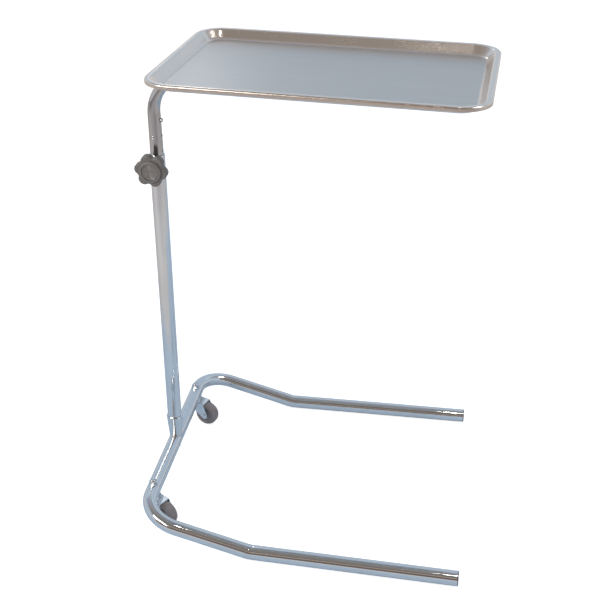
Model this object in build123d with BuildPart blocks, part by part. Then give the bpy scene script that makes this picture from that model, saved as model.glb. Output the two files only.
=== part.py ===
from build123d import *
import os
from math import cos, radians, sin

os.makedirs("parts", exist_ok=True)

# All sizes are in millimetres. The origin is on the floor, under the middle of the stand.
# +X runs from the post along the legs, +Y points away from the clamp knob, +Z is up.

# Floor base: one tube bent to a U, with a raised crossbar and two legs that lie on the floor
tube_diameter = 25.0
tube_wall = 1.5
bar_height = 63.0
knee_reach = 183.0
leg_reach = 530.0
knee_spread = 446.0
toe_spread = 458.0
corner_bend = 60.0
knee_bend = 60.0
plug_rim = 1.6
plug_depth = 18.0
plug_dome = 1.2
drill_start = 1.0

# Post: a socket welded on the crossbar, the outer tube that stands in it, and its anchor bolt
socket_top = 53.0
socket_mouth_diameter = 29.6
socket_foot_diameter = 21.0
socket_floor = 24.0
socket_lip = 1.0
post_drop = 166.0
anchor_length = 22.0
anchor_chamfer = 1.5
anchor_bolt_diameter = 8.0
anchor_bolt_grip = 14.0
bolt_head_across = 13.0
bolt_head_height = 5.3
bolt_head_chamfer = 0.6
bolt_tip_chamfer = 0.8
saddle_diameter = 16.0
saddle_thickness = 1.6

# Sliding inner tube with its bend, which becomes the arm under the tray; it stands a little swivelled
arm_swivel = -3.3
inner_diameter = 21.3
inner_wall = 1.5
inner_bottom = 190.0
arm_drop = 36.0
arm_bend = 64.0
glide_head = 14.0
glide_spigot = 24.0
glide_chamfer = 1.5
stop_drop = 73.0
stop_head_diameter = 7.0
stop_head_height = 2.8
stop_head_round = 2.0
stop_shank_diameter = 4.8
stop_tail = 1.2
marker_pitch = 25.4
marker_diameter = 5.5
marker_count = 2
side_hole_drop = 99.0
side_hole_angle = -99.0

# Clamp: a boss welded on the outer tube, a shoe, and a screw moulded into a star knob
knob_drop = 14.0
boss_diameter = 18.0
boss_face = 21.0
boss_edge = 1.2
screw_diameter = 7.8
screw_tip_diameter = 4.0
screw_tip_length = 2.0
screw_end_gap = 2.0
screw_chamfer = 0.6
shoe_thickness = 3.6
shoe_gap = 0.3
knob_back = 22.5
knob_hub_diameter = 22.0
star_back = 28.0
star_front = 42.0
star_diameter = 53.0
lobe_diameter = 19.0
lobe_count = 6
lobe_turn = -10.0
star_core_diameter = 30.0
star_valley = 5.0
star_edge = 2.2
knob_crown_diameter = 36.0
knob_crown = 4.5
knob_crown_edge = 2.5
knob_weld = 1.0
knob_cap_diameter = 27.0
knob_cap_recess = 3.6
knob_cap_thickness = 2.8
knob_cap_dish = 1.6

# Tray: a pressed pan with sloping walls, a flat flange and a turned-down edge
tray_length = 485.8
tray_width = 320.7
tray_corner = 45.0
tray_top = 790.0
tray_depth = 15.5
tray_sheet = 0.9
flange_width = 9.0
wall_foot = 19.5
skirt_depth = 6.5
edge_roll = 2.4
wall_roll = 2.0
floor_roll = 4.0
tray_offset = 277.7

# Tray ring: a rod that lies under the flange, on two brackets that stand on the arm
ring_rod_diameter = 6.35
ring_inset = 6.2
bracket_sheet = 4.0
bracket_head = 64.0
bracket_foot = 30.0

# Casters: a stem fixed in the crossbar, a swivelling fork and a wheel on a bush
caster_spread = 300.0
wheel_diameter = 46.0
wheel_width = 20.0
wheel_edge = 4.5
wheel_hub_diameter = 17.0
wheel_recess_diameter = 32.0
wheel_recess = 2.6
wheel_recess_slope = 1.0
caster_trail = 25.5
fork_sheet = 1.6
fork_gap = 0.8
fork_nose = 9.5
fork_tail = 24.0
fork_shoulder = 8.0
fork_toe_diameter = 14.5
fork_edge = 2.4
stem_diameter = 8.0
collar_diameter = 24.0
collar_thickness = 1.8
stem_head_diameter = 13.0
stem_head_height = 2.2
stem_head_chamfer = 1.0
nut_across = 12.0
nut_height = 5.0
nut_dome = 3.6
nut_dome_inset = 0.8
nut_dome_edge = 3.4
nut_chamfer = 0.6
bush_diameter = 9.0
axle_diameter = 6.0
axle_head_diameter = 10.0
axle_head_height = 1.4
axle_head_chamfer = 1.0
far_swivel = -20.0
near_swivel = -30.0

# Clearances, each on the radius or on one face
slide_clearance = 0.08
seat_clearance = 0.05
drill_clearance = 0.15
swivel_clearance = 0.1

# Places that follow from the sizes above
arm_height = tray_top - arm_drop
stop_height = arm_height - stop_drop
post_top = tray_top - post_drop
knob_height = post_top - knob_drop
side_hole_height = arm_height - side_hole_drop
tube_radius = tube_diameter / 2
inner_radius = inner_diameter / 2
post_bore_radius = inner_radius + slide_clearance
star_radius = star_diameter / 2
lobe_radius = lobe_diameter / 2
lobe_circle = star_radius - lobe_radius
knob_side = lobe_circle * cos(radians(lobe_turn)) + lobe_radius
post_x = (knob_side - leg_reach - plug_rim) / 2
bar_top = bar_height + tube_radius
bar_bottom = bar_height - tube_radius
socket_seat = bar_top + socket_floor
fork_top = bar_bottom - collar_thickness - swivel_clearance
wheel_radius = wheel_diameter / 2
fork_inside = wheel_width + 2 * fork_gap
fork_outside = fork_inside + 2 * fork_sheet
axle_end = fork_outside / 2 + axle_head_height
axle_head_radius = axle_head_diameter / 2
saddle_top = bar_top + saddle_thickness
ring_rod_radius = ring_rod_diameter / 2
ring_height = tray_top - tray_sheet - ring_rod_radius - seat_clearance
ring_near_x = tray_offset - tray_length / 2 + ring_inset
ring_far_x = tray_offset + tray_length / 2 - ring_inset
arm_end = ring_far_x + bracket_sheet / 2 - plug_rim

# The arm's plane has its origin on the floor under the post, and its x axis runs along the arm
arm_plane = Plane(
    origin=(post_x, 0, 0),
    x_dir=(cos(radians(arm_swivel)), sin(radians(arm_swivel)), 0),
    z_dir=(0, 0, 1),
)

# Floor base
base_route = [
    (post_x + leg_reach, -toe_spread / 2, tube_radius),
    (post_x + knee_reach, -knee_spread / 2, tube_radius),
    (post_x, -knee_spread / 2, bar_height),
    (post_x, knee_spread / 2, bar_height),
    (post_x + knee_reach, knee_spread / 2, tube_radius),
    (post_x + leg_reach, toe_spread / 2, tube_radius),
]

with BuildPart() as base_tube:
    with BuildLine() as base_path:
        FilletPolyline(*base_route, radius=[knee_bend, corner_bend, corner_bend, knee_bend])
    with BuildSketch(Plane(origin=base_path.line @ 0, z_dir=base_path.line % 0)):
        Circle(tube_radius)
        Circle(tube_radius - tube_wall, mode=Mode.SUBTRACT)
    sweep(path=base_path.line)
    with Locations(
        (post_x, -caster_spread / 2, bar_top + drill_start),
        (post_x, caster_spread / 2, bar_top + drill_start),
    ):
        Hole(radius=stem_diameter / 2 + drill_clearance, depth=tube_diameter + 2 * drill_start)
    with Locations((post_x, 0, bar_top + drill_start)):
        Hole(
            radius=anchor_bolt_diameter / 2 + drill_clearance,
            depth=tube_diameter + 2 * drill_start,
        )
base_tube.part.label = "base_tube"
export_step(base_tube.part, "parts/base_tube.step")

# A plug closes each toe; its rim is as wide as the tube and slightly domed
toe_run = Vector(leg_reach - knee_reach, (toe_spread - knee_spread) / 2, 0).normalized()
for side, sign in (("near", -1), ("far", 1)):
    toe_plane = Plane(
        origin=(post_x + leg_reach, sign * toe_spread / 2, tube_radius),
        x_dir=(-sign * toe_run.Y, toe_run.X, 0),
        z_dir=(toe_run.X, sign * toe_run.Y, 0),
    )
    with BuildPart() as leg_plug:
        with BuildSketch(toe_plane):
            Circle(tube_radius)
        extrude(amount=plug_rim)
        fillet(leg_plug.edges().group_by(Axis(toe_plane.origin, toe_plane.z_dir))[-1], plug_dome)
        with BuildSketch(toe_plane):
            Circle(tube_radius - tube_wall - seat_clearance)
            Circle(tube_radius - 2 * tube_wall - seat_clearance, mode=Mode.SUBTRACT)
        extrude(amount=-plug_depth)
    leg_plug.part.label = f"{side}_leg_plug"
    export_step(leg_plug.part, f"parts/{side}_leg_plug.step")

# The socket narrows towards the crossbar, where it is coped and welded
with BuildPart() as post_socket:
    with BuildSketch(Plane(origin=(post_x, 0, 0), x_dir=(1, 0, 0), z_dir=(0, -1, 0))) as socket_profile:
        with BuildLine():
            Polyline(
                (0, bar_height),
                (socket_foot_diameter / 2, bar_height),
                (socket_mouth_diameter / 2, bar_height + socket_top),
                (tube_radius + seat_clearance, bar_height + socket_top),
                (tube_radius + seat_clearance, socket_seat),
                (0, socket_seat),
                close=True,
            )
        make_face()
        fillet(socket_profile.vertices().group_by(Axis.Y)[-1].sort_by(Axis.X)[-1], socket_lip)
    revolve(axis=Axis((post_x, 0, 0), (0, 0, 1)))
    with Locations(Location((post_x, 0, bar_height), (90, 0, 0))):
        Cylinder(radius=tube_radius, height=2 * socket_mouth_diameter, mode=Mode.SUBTRACT)
    with Locations((post_x, 0, socket_seat)):
        Hole(radius=anchor_bolt_diameter / 2 + drill_clearance, depth=socket_floor + tube_radius)
post_socket.part.label = "post_socket"
export_step(post_socket.part, "parts/post_socket.step")

with BuildPart() as outer_post:
    with BuildSketch(Plane.XY.offset(socket_seat)):
        with Locations((post_x, 0)):
            Circle(tube_radius)
            Circle(post_bore_radius, mode=Mode.SUBTRACT)
    extrude(amount=post_top - socket_seat)
    with BuildSketch(Plane(origin=(post_x, 0, knob_height), x_dir=(1, 0, 0), z_dir=(0, -1, 0))):
        Circle(screw_diameter / 2 + swivel_clearance)
    extrude(amount=tube_diameter, mode=Mode.SUBTRACT)
outer_post.part.label = "outer_post"
export_step(outer_post.part, "parts/outer_post.step")

# The anchor is pressed in the outer tube's foot and takes the bolt that holds the post down
with BuildPart() as post_anchor:
    with BuildSketch(Plane.XY.offset(socket_seat)):
        with Locations((post_x, 0)):
            Circle(post_bore_radius - seat_clearance)
            Circle(anchor_bolt_diameter / 2 + seat_clearance, mode=Mode.SUBTRACT)
    extrude(amount=anchor_length)
    chamfer(post_anchor.edges().group_by(Axis.Z)[-1].sort_by(SortBy.LENGTH)[-1], anchor_chamfer)
post_anchor.part.label = "post_anchor"
export_step(post_anchor.part, "parts/post_anchor.step")

with BuildPart() as anchor_bolt:
    with BuildSketch(Plane.XY.offset(bar_bottom - saddle_thickness - bolt_head_height)):
        with Locations((post_x, 0)):
            RegularPolygon(radius=bolt_head_across / 2, side_count=6, major_radius=False)
    extrude(amount=bolt_head_height)
    with BuildSketch(Plane.XY.offset(bar_bottom - saddle_thickness)):
        with Locations((post_x, 0)):
            Circle(anchor_bolt_diameter / 2)
    extrude(amount=saddle_thickness + tube_diameter + socket_floor + anchor_bolt_grip)
    chamfer(anchor_bolt.edges().group_by(Axis.Z)[-1], bolt_tip_chamfer)
    chamfer(anchor_bolt.edges().group_by(Axis.Z)[0], bolt_head_chamfer)
anchor_bolt.part.label = "anchor_bolt"
export_step(anchor_bolt.part, "parts/anchor_bolt.step")

# Saddle washers sit between the round crossbar and what is tightened against it
saddle_places = (
    ("anchor_saddle", 0, -1, anchor_bolt_diameter),
    ("near_stem_saddle", -caster_spread / 2, 1, stem_diameter),
    ("far_stem_saddle", caster_spread / 2, 1, stem_diameter),
)
for saddle_name, saddle_y, up, shank in saddle_places:
    with BuildPart() as saddle:
        with BuildSketch(Plane.XY.offset(bar_height)):
            with Locations((post_x, saddle_y)):
                Circle(saddle_diameter / 2)
                Circle(shank / 2 + drill_clearance, mode=Mode.SUBTRACT)
        extrude(amount=up * (tube_radius + saddle_thickness))
        with Locations(Location((post_x, saddle_y, bar_height), (90, 0, 0))):
            Cylinder(radius=tube_radius, height=2 * saddle_diameter, mode=Mode.SUBTRACT)
    saddle.part.label = saddle_name
    export_step(saddle.part, f"parts/{saddle_name}.step")

# Casters: u runs along the trail from the stem, v is up and the wheel turns about the side axis
for side, stem_y, swivel in (
    ("near", -caster_spread / 2, near_swivel),
    ("far", caster_spread / 2, far_swivel),
):
    trail = Vector(cos(radians(swivel)), sin(radians(swivel)), 0)
    lateral = Vector(sin(radians(swivel)), -cos(radians(swivel)), 0)
    stem_foot = Vector(post_x, stem_y, 0)
    axle_centre = stem_foot + trail * caster_trail + Vector(0, 0, wheel_radius)
    side_plane = Plane(origin=stem_foot, x_dir=trail, z_dir=lateral)
    axle_plane = Plane(origin=axle_centre, x_dir=lateral, z_dir=-trail)
    axle_axis = Axis(axle_centre, lateral)
    stem_axis = Axis(stem_foot, (0, 0, 1))
    crown_under = fork_top - fork_sheet
    stem_head_top = crown_under - swivel_clearance

    with BuildPart() as stem:
        with BuildSketch(side_plane):
            with BuildLine():
                Polyline(
                    (0, stem_head_top - stem_head_height),
                    (stem_head_diameter / 2 - stem_head_chamfer, stem_head_top - stem_head_height),
                    (stem_head_diameter / 2, stem_head_top - stem_head_height + stem_head_chamfer),
                    (stem_head_diameter / 2, stem_head_top),
                    (stem_diameter / 2, stem_head_top),
                    (stem_diameter / 2, bar_bottom - collar_thickness),
                    (collar_diameter / 2, bar_bottom - collar_thickness),
                    (collar_diameter / 2, bar_bottom),
                    (stem_diameter / 2, bar_bottom),
                    (stem_diameter / 2, saddle_top + nut_height),
                    (0, saddle_top + nut_height),
                    close=True,
                )
            make_face()
        revolve(axis=stem_axis)
    stem.part.label = f"{side}_stem"
    export_step(stem.part, f"parts/{side}_stem.step")

    with BuildPart() as stem_nut:
        with BuildSketch(Plane.XY.offset(saddle_top)):
            with Locations((post_x, stem_y)):
                RegularPolygon(radius=nut_across / 2, side_count=6, major_radius=False)
        extrude(amount=nut_height)
        chamfer(stem_nut.edges().group_by(Axis.Z)[-1], nut_chamfer)
        with BuildSketch(Plane.XY.offset(saddle_top)):
            with Locations((post_x, stem_y)):
                Circle(nut_across / 2 - nut_dome_inset)
        extrude(amount=nut_height + nut_dome)
        fillet(stem_nut.edges().group_by(Axis.Z)[-1], nut_dome_edge)
        with Locations((post_x, stem_y, saddle_top)):
            Cylinder(
                radius=stem_diameter / 2 + seat_clearance,
                height=nut_height + seat_clearance,
                align=(Align.CENTER, Align.CENTER, Align.MIN),
                mode=Mode.SUBTRACT,
            )
    stem_nut.part.label = f"{side}_stem_nut"
    export_step(stem_nut.part, f"parts/{side}_stem_nut.step")

    with BuildPart() as fork:
        with BuildSketch(side_plane):
            with Locations((caster_trail, wheel_radius)):
                Circle(fork_toe_diameter / 2)
            with Locations(((fork_tail - fork_nose) / 2, fork_top - fork_shoulder / 2)):
                Rectangle(fork_tail + fork_nose, fork_shoulder)
            make_hull()
        extrude(amount=fork_outside / 2, both=True)
        fillet(fork.edges().group_by(Axis.Z)[-1].filter_by(Axis(stem_foot, trail)), fork_edge)
        with BuildSketch(side_plane):
            with Locations(((fork_tail + caster_trail) / 2, crown_under)):
                Rectangle(4 * caster_trail, crown_under, align=(Align.CENTER, Align.MAX))
        extrude(amount=fork_inside / 2, both=True, mode=Mode.SUBTRACT)
        with Locations((stem_foot.X, stem_foot.Y, fork_top)):
            Hole(radius=stem_diameter / 2 + swivel_clearance, depth=2 * fork_sheet)
        with BuildSketch(side_plane):
            with Locations((caster_trail, wheel_radius)):
                Circle(axle_diameter / 2 + seat_clearance)
        extrude(amount=fork_outside, both=True, mode=Mode.SUBTRACT)
    fork.part.label = f"{side}_fork"
    export_step(fork.part, f"parts/{side}_fork.step")

    with BuildPart() as axle:
        with BuildSketch(axle_plane):
            with BuildLine():
                Polyline(
                    (-axle_end, 0),
                    (-axle_end, axle_head_radius - axle_head_chamfer),
                    (-axle_end + axle_head_chamfer, axle_head_radius),
                    (-fork_outside / 2, axle_head_radius),
                    (-fork_outside / 2, axle_diameter / 2),
                    (fork_outside / 2, axle_diameter / 2),
                    (fork_outside / 2, axle_head_radius),
                    (axle_end - axle_head_chamfer, axle_head_radius),
                    (axle_end, axle_head_radius - axle_head_chamfer),
                    (axle_end, 0),
                    close=True,
                )
            make_face()
        revolve(axis=axle_axis)
    axle.part.label = f"{side}_axle"
    export_step(axle.part, f"parts/{side}_axle.step")

    with BuildPart() as wheel_bush:
        with BuildSketch(axle_plane):
            with Locations((0, (bush_diameter + axle_diameter) / 4 + seat_clearance / 2)):
                Rectangle(
                    fork_inside - 2 * seat_clearance,
                    (bush_diameter - axle_diameter) / 2 - seat_clearance,
                )
        revolve(axis=axle_axis)
    wheel_bush.part.label = f"{side}_wheel_bush"
    export_step(wheel_bush.part, f"parts/{side}_wheel_bush.step")

    with BuildPart() as wheel:
        with BuildSketch(axle_plane) as wheel_profile:
            with BuildLine():
                half = wheel_width / 2
                web = half - wheel_recess
                wheel_bore = bush_diameter / 2 + slide_clearance
                hub = wheel_hub_diameter / 2
                rim = wheel_recess_diameter / 2
                Polyline(
                    (-half, wheel_bore),
                    (-half, hub),
                    (-web, hub + wheel_recess_slope),
                    (-web, rim - wheel_recess_slope),
                    (-half, rim),
                    (-half, wheel_radius),
                    (half, wheel_radius),
                    (half, rim),
                    (web, rim - wheel_recess_slope),
                    (web, hub + wheel_recess_slope),
                    (half, hub),
                    (half, wheel_bore),
                    close=True,
                )
            make_face()
            fillet(wheel_profile.vertices().group_by(Axis.Y)[-1], wheel_edge)
        revolve(axis=axle_axis)
    wheel.part.label = f"{side}_wheel"
    export_step(wheel.part, f"parts/{side}_wheel.step")

# Sliding inner tube: it rises in the outer tube, bends over and runs on as the arm
with BuildPart() as inner_post:
    with BuildLine(arm_plane) as arm_path:
        FilletPolyline(
            (0, 0, inner_bottom),
            (0, 0, arm_height),
            (arm_end, 0, arm_height),
            radius=arm_bend,
        )
    with BuildSketch(Plane(origin=arm_path.line @ 0, z_dir=arm_path.line % 0)):
        Circle(inner_radius)
        Circle(inner_radius - inner_wall, mode=Mode.SUBTRACT)
    sweep(path=arm_path.line)
    with BuildSketch(Plane(origin=(post_x, 0, stop_height), x_dir=arm_plane.y_dir, z_dir=arm_plane.x_dir)):
        Circle(stop_shank_diameter / 2 + seat_clearance)
        for step in range(marker_count):
            with Locations((0, -(step + 1) * marker_pitch)):
                Circle(marker_diameter / 2)
    extrude(amount=inner_diameter, mode=Mode.SUBTRACT)
    side_direction = (cos(radians(side_hole_angle)), sin(radians(side_hole_angle)), 0)
    with BuildSketch(Plane(origin=(post_x, 0, side_hole_height), z_dir=side_direction)):
        Circle(marker_diameter / 2)
    extrude(amount=inner_diameter, mode=Mode.SUBTRACT)
inner_post.part.label = "inner_post"
export_step(inner_post.part, "parts/inner_post.step")

# The stop rivet keeps the arm from sinking onto the outer tube
with BuildPart() as stop_rivet:
    rivet_plane = Plane(origin=(post_x, 0, stop_height), x_dir=arm_plane.x_dir, z_dir=-arm_plane.y_dir)
    with BuildSketch(rivet_plane) as rivet_profile:
        with BuildLine():
            Polyline(
                (inner_radius - inner_wall - stop_tail, 0),
                (inner_radius - inner_wall - stop_tail, stop_shank_diameter / 2),
                (inner_radius, stop_shank_diameter / 2),
                (inner_radius, stop_head_diameter / 2),
                (inner_radius + stop_head_height, stop_head_diameter / 2),
                (inner_radius + stop_head_height, 0),
                close=True,
            )
        make_face()
        fillet(rivet_profile.vertices().group_by(Axis.X)[-1].sort_by(Axis.Y)[-1], stop_head_round)
    revolve(axis=Axis(rivet_plane.origin, rivet_plane.x_dir))
stop_rivet.part.label = "stop_rivet"
export_step(stop_rivet.part, "parts/stop_rivet.step")

# The glide steadies the inner tube's foot in the bore, and the tube turns on its spigot
with BuildPart() as glide_plug:
    with BuildSketch(Plane.XY.offset(inner_bottom - glide_head)):
        with Locations((post_x, 0)):
            Circle(post_bore_radius - seat_clearance)
    extrude(amount=glide_head - seat_clearance)
    chamfer(glide_plug.edges().group_by(Axis.Z)[0], glide_chamfer)
    with BuildSketch(Plane.XY.offset(inner_bottom - glide_head)):
        with Locations((post_x, 0)):
            Circle(inner_radius - inner_wall - slide_clearance)
    extrude(amount=glide_head + glide_spigot)
    chamfer(glide_plug.edges().group_by(Axis.Z)[-1], glide_chamfer)
glide_plug.part.label = "glide_plug"
export_step(glide_plug.part, "parts/glide_plug.step")

arm_end_plane = Plane(
    origin=arm_plane.from_local_coords((arm_end, 0, arm_height)),
    x_dir=arm_plane.y_dir,
    z_dir=arm_plane.x_dir,
)
with BuildPart() as arm_plug:
    with BuildSketch(arm_end_plane):
        Circle(inner_radius)
    extrude(amount=plug_rim)
    fillet(arm_plug.edges().group_by(Axis(arm_end_plane.origin, arm_end_plane.z_dir))[-1], plug_dome)
    with BuildSketch(arm_end_plane):
        Circle(inner_radius - inner_wall - seat_clearance)
        Circle(inner_radius - 2 * inner_wall - seat_clearance, mode=Mode.SUBTRACT)
    extrude(amount=-plug_depth)
arm_plug.part.label = "arm_plug"
export_step(arm_plug.part, "parts/arm_plug.step")

# Clamp: the parts lie along -Y, and a distance is counted from the post's axis
knob_plane = Plane(origin=(post_x, 0, knob_height), x_dir=(1, 0, 0), z_dir=(0, -1, 0))
knob_axis = Axis((post_x, 0, knob_height), (0, -1, 0))

with BuildPart() as clamp_boss:
    with BuildSketch(knob_plane):
        Circle(boss_diameter / 2)
    extrude(amount=boss_face)
    fillet(clamp_boss.edges().group_by(Axis.Y)[0], boss_edge)
    with Locations((post_x, 0, knob_height)):
        Cylinder(radius=tube_radius, height=2 * boss_diameter, mode=Mode.SUBTRACT)
    with BuildSketch(knob_plane):
        Circle(screw_diameter / 2 + swivel_clearance)
    extrude(amount=boss_face, mode=Mode.SUBTRACT)
clamp_boss.part.label = "clamp_boss"
export_step(clamp_boss.part, "parts/clamp_boss.step")

shoe_back = inner_radius + shoe_gap + shoe_thickness

with BuildPart() as clamp_shoe:
    with BuildSketch(knob_plane):
        Circle(screw_diameter / 2 - seat_clearance)
    extrude(amount=shoe_back)
    with Locations((post_x, 0, knob_height)):
        Cylinder(radius=inner_radius + shoe_gap, height=2 * boss_diameter, mode=Mode.SUBTRACT)
    with BuildSketch(knob_plane.offset(shoe_back)):
        Circle(screw_tip_diameter / 2 + swivel_clearance)
    extrude(amount=-screw_tip_length - swivel_clearance, mode=Mode.SUBTRACT)
clamp_shoe.part.label = "clamp_shoe"
export_step(clamp_shoe.part, "parts/clamp_shoe.step")

cap_seat = star_front + knob_crown - knob_cap_recess

with BuildPart() as clamp_screw:
    with BuildSketch(knob_plane.offset(shoe_back + swivel_clearance)):
        Circle(screw_diameter / 2)
    extrude(amount=cap_seat - screw_end_gap - shoe_back - swivel_clearance)
    chamfer(clamp_screw.edges().group_by(Axis.Y)[-1], screw_chamfer)
    with BuildSketch(knob_plane.offset(shoe_back + swivel_clearance)):
        Circle(screw_tip_diameter / 2)
    extrude(amount=-screw_tip_length)
clamp_screw.part.label = "clamp_screw"
export_step(clamp_screw.part, "parts/clamp_screw.step")

with BuildPart() as clamp_knob:
    with BuildSketch(knob_plane.offset(star_back)) as star:
        Circle(star_core_diameter / 2)
        with PolarLocations(lobe_circle, lobe_count, start_angle=lobe_turn):
            Circle(lobe_radius)
        fillet(star.vertices(), star_valley)
    extrude(amount=star_front - star_back)
    fillet(clamp_knob.edges().group_by(Axis.Y)[0], star_edge)
    fillet(clamp_knob.edges().group_by(Axis.Y)[-1], star_edge)
    with BuildSketch(knob_plane.offset(knob_back)):
        Circle(knob_hub_diameter / 2)
    extrude(amount=star_back - knob_back + knob_weld)
    with BuildSketch(knob_plane.offset(star_front - knob_weld)):
        Circle(knob_crown_diameter / 2)
    extrude(amount=knob_crown + knob_weld)
    fillet(clamp_knob.edges().group_by(Axis.Y)[0], knob_crown_edge)
    with BuildSketch(knob_plane.offset(cap_seat)):
        Circle(knob_cap_diameter / 2 + seat_clearance)
    extrude(amount=knob_cap_recess, mode=Mode.SUBTRACT)
    with BuildSketch(knob_plane.offset(knob_back)):
        Circle(screw_diameter / 2)
    extrude(amount=cap_seat - screw_end_gap - knob_back, mode=Mode.SUBTRACT)
clamp_knob.part.label = "clamp_knob"
export_step(clamp_knob.part, "parts/clamp_knob.step")

# The cap closes the middle of the knob; its face is dished
with BuildPart() as knob_cap:
    with BuildSketch(knob_plane.offset(cap_seat)):
        Circle(knob_cap_diameter / 2)
    extrude(amount=knob_cap_thickness)
    dish_radius = (knob_cap_diameter**2 / 4 + knob_cap_dish**2) / (2 * knob_cap_dish)
    with Locations((post_x, -(cap_seat + knob_cap_thickness - knob_cap_dish + dish_radius), knob_height)):
        Sphere(dish_radius, mode=Mode.SUBTRACT)
knob_cap.part.label = "knob_cap"
export_step(knob_cap.part, "parts/knob_cap.step")


def tray_corners(inset, height):
    """Corners of the tray's outline, moved in by an inset, in the arm's plane."""
    half_length = tray_length / 2 - inset
    half_width = tray_width / 2 - inset
    return [
        (tray_offset - half_length, -half_width, height),
        (tray_offset + half_length, -half_width, height),
        (tray_offset + half_length, half_width, height),
        (tray_offset - half_length, half_width, height),
    ]


# Ring rod under the tray's flange
with BuildPart() as tray_ring:
    with BuildLine(arm_plane) as ring_path:
        FilletPolyline(
            *tray_corners(ring_inset, ring_height),
            radius=tray_corner - ring_inset,
            close=True,
        )
    with BuildSketch(Plane(origin=ring_path.line @ 0, z_dir=ring_path.line % 0)):
        Circle(ring_rod_radius)
    sweep(path=ring_path.line)
tray_ring.part.label = "tray_ring"
export_step(tray_ring.part, "parts/tray_ring.step")

# Two brackets stand astride the arm and carry the ring's short sides
for bracket_name, bracket_x in (("inner_bracket", ring_near_x), ("outer_bracket", ring_far_x)):
    bracket_plane = Plane(
        origin=arm_plane.from_local_coords((bracket_x, 0, arm_height)),
        x_dir=arm_plane.y_dir,
        z_dir=arm_plane.x_dir,
    )
    with BuildPart() as bracket:
        with BuildSketch(bracket_plane):
            with BuildLine():
                Polyline(
                    (-bracket_foot / 2, 0),
                    (bracket_foot / 2, 0),
                    (bracket_head / 2, ring_height - arm_height),
                    (-bracket_head / 2, ring_height - arm_height),
                    close=True,
                )
            make_face()
            Circle(inner_radius, mode=Mode.SUBTRACT)
        extrude(amount=bracket_sheet / 2, both=True)
        rod_plane = Plane(
            origin=arm_plane.from_local_coords((bracket_x, 0, ring_height)),
            x_dir=arm_plane.x_dir,
            z_dir=arm_plane.y_dir,
        )
        with BuildSketch(rod_plane):
            Circle(ring_rod_radius)
        extrude(amount=bracket_head, both=True, mode=Mode.SUBTRACT)
    bracket.part.label = bracket_name
    export_step(bracket.part, f"parts/{bracket_name}.step")

# Tray: the section of its edge is swept round, and the floor closes it
with BuildPart() as instrument_tray:
    with BuildLine(arm_plane) as rim_path:
        FilletPolyline(
            *tray_corners(0, tray_top),
            radius=tray_corner,
            close=True,
        )
    rim_run = rim_path.line % 0
    with BuildSketch(Plane(origin=rim_path.line @ 0, x_dir=(-rim_run.Y, rim_run.X, 0), z_dir=rim_run)):
        with BuildLine():
            FilletPolyline(
                (tray_sheet / 2, -skirt_depth),
                (tray_sheet / 2, -tray_sheet / 2),
                (flange_width, -tray_sheet / 2),
                (wall_foot, -tray_depth + tray_sheet / 2),
                (wall_foot + 2 * floor_roll, -tray_depth + tray_sheet / 2),
                radius=[edge_roll, wall_roll, floor_roll],
            )
        trace(line_width=tray_sheet)
    sweep(path=rim_path.line)
    floor_inset = wall_foot + 2 * floor_roll
    with BuildSketch(arm_plane.offset(tray_top - tray_depth)):
        with Locations((tray_offset, 0)):
            RectangleRounded(
                tray_length - 2 * floor_inset,
                tray_width - 2 * floor_inset,
                tray_corner - floor_inset,
            )
    extrude(amount=tray_sheet)
instrument_tray.part.label = "instrument_tray"
export_step(instrument_tray.part, "parts/instrument_tray.step")
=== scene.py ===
"""Looks of a wheeled instrument stand: chromed tube base and post, clamp knob, casters and steel pan."""

import logging
import math
from dataclasses import dataclass, field
from enum import Enum
from typing import Iterable, Mapping, NamedTuple, Sequence

import bmesh
import bpy
from mathutils import Matrix, Vector


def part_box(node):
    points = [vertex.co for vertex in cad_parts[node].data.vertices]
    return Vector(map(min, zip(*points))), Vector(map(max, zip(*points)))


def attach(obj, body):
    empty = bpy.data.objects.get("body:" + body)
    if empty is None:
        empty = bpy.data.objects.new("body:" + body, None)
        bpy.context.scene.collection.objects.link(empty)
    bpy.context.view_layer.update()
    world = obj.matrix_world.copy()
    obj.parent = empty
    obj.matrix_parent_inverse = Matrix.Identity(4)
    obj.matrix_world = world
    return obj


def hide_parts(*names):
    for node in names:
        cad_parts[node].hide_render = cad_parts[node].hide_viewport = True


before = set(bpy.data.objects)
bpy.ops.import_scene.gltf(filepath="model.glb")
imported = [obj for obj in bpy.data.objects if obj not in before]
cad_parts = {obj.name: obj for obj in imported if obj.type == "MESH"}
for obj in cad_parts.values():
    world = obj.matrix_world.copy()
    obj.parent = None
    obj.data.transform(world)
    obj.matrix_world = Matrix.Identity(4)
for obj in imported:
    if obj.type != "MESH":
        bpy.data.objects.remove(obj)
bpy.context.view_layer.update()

log = logging.getLogger("instrument_stand")

Triple = tuple[float, float, float]
Colour = Triple
Shape = bmesh.types.BMesh
Section = tuple[list[bmesh.types.BMVert], list[bmesh.types.BMEdge]]
Socket = bpy.types.NodeSocket
Node = bpy.types.Node

POST_X = (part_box("outer_post")[0].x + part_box("outer_post")[1].x) / 2
ARM_SWIVEL = math.radians(-3.3)
ARM_WAY = Vector((math.cos(ARM_SWIVEL), math.sin(ARM_SWIVEL), 0))
UP = Vector((0, 0, 1))
TUBE_RADIUS = 0.0125
INNER_RADIUS = 0.01065
TUBE_WALL = 0.0015
FULL_TURN = 2 * math.pi
SAME_PLACE = 1e-7


class Slot(Enum):
    """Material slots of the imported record."""

    CHROME = "chrome_plate"
    ZINC = "zinc_plate"
    PAN = "pan_steel"
    PLUG = "plug_plastic"
    KNOB = "knob_plastic"
    NYLON = "nylon"
    WHEEL = "wheel_rubber"


class Body(Enum):
    """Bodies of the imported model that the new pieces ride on."""

    BASE = "base"
    ARM = "tray_arm"
    TRAY = "tray"
    KNOB = "knob"
    NEAR_ROLLER = "near_roller"
    FAR_ROLLER = "far_roller"


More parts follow.
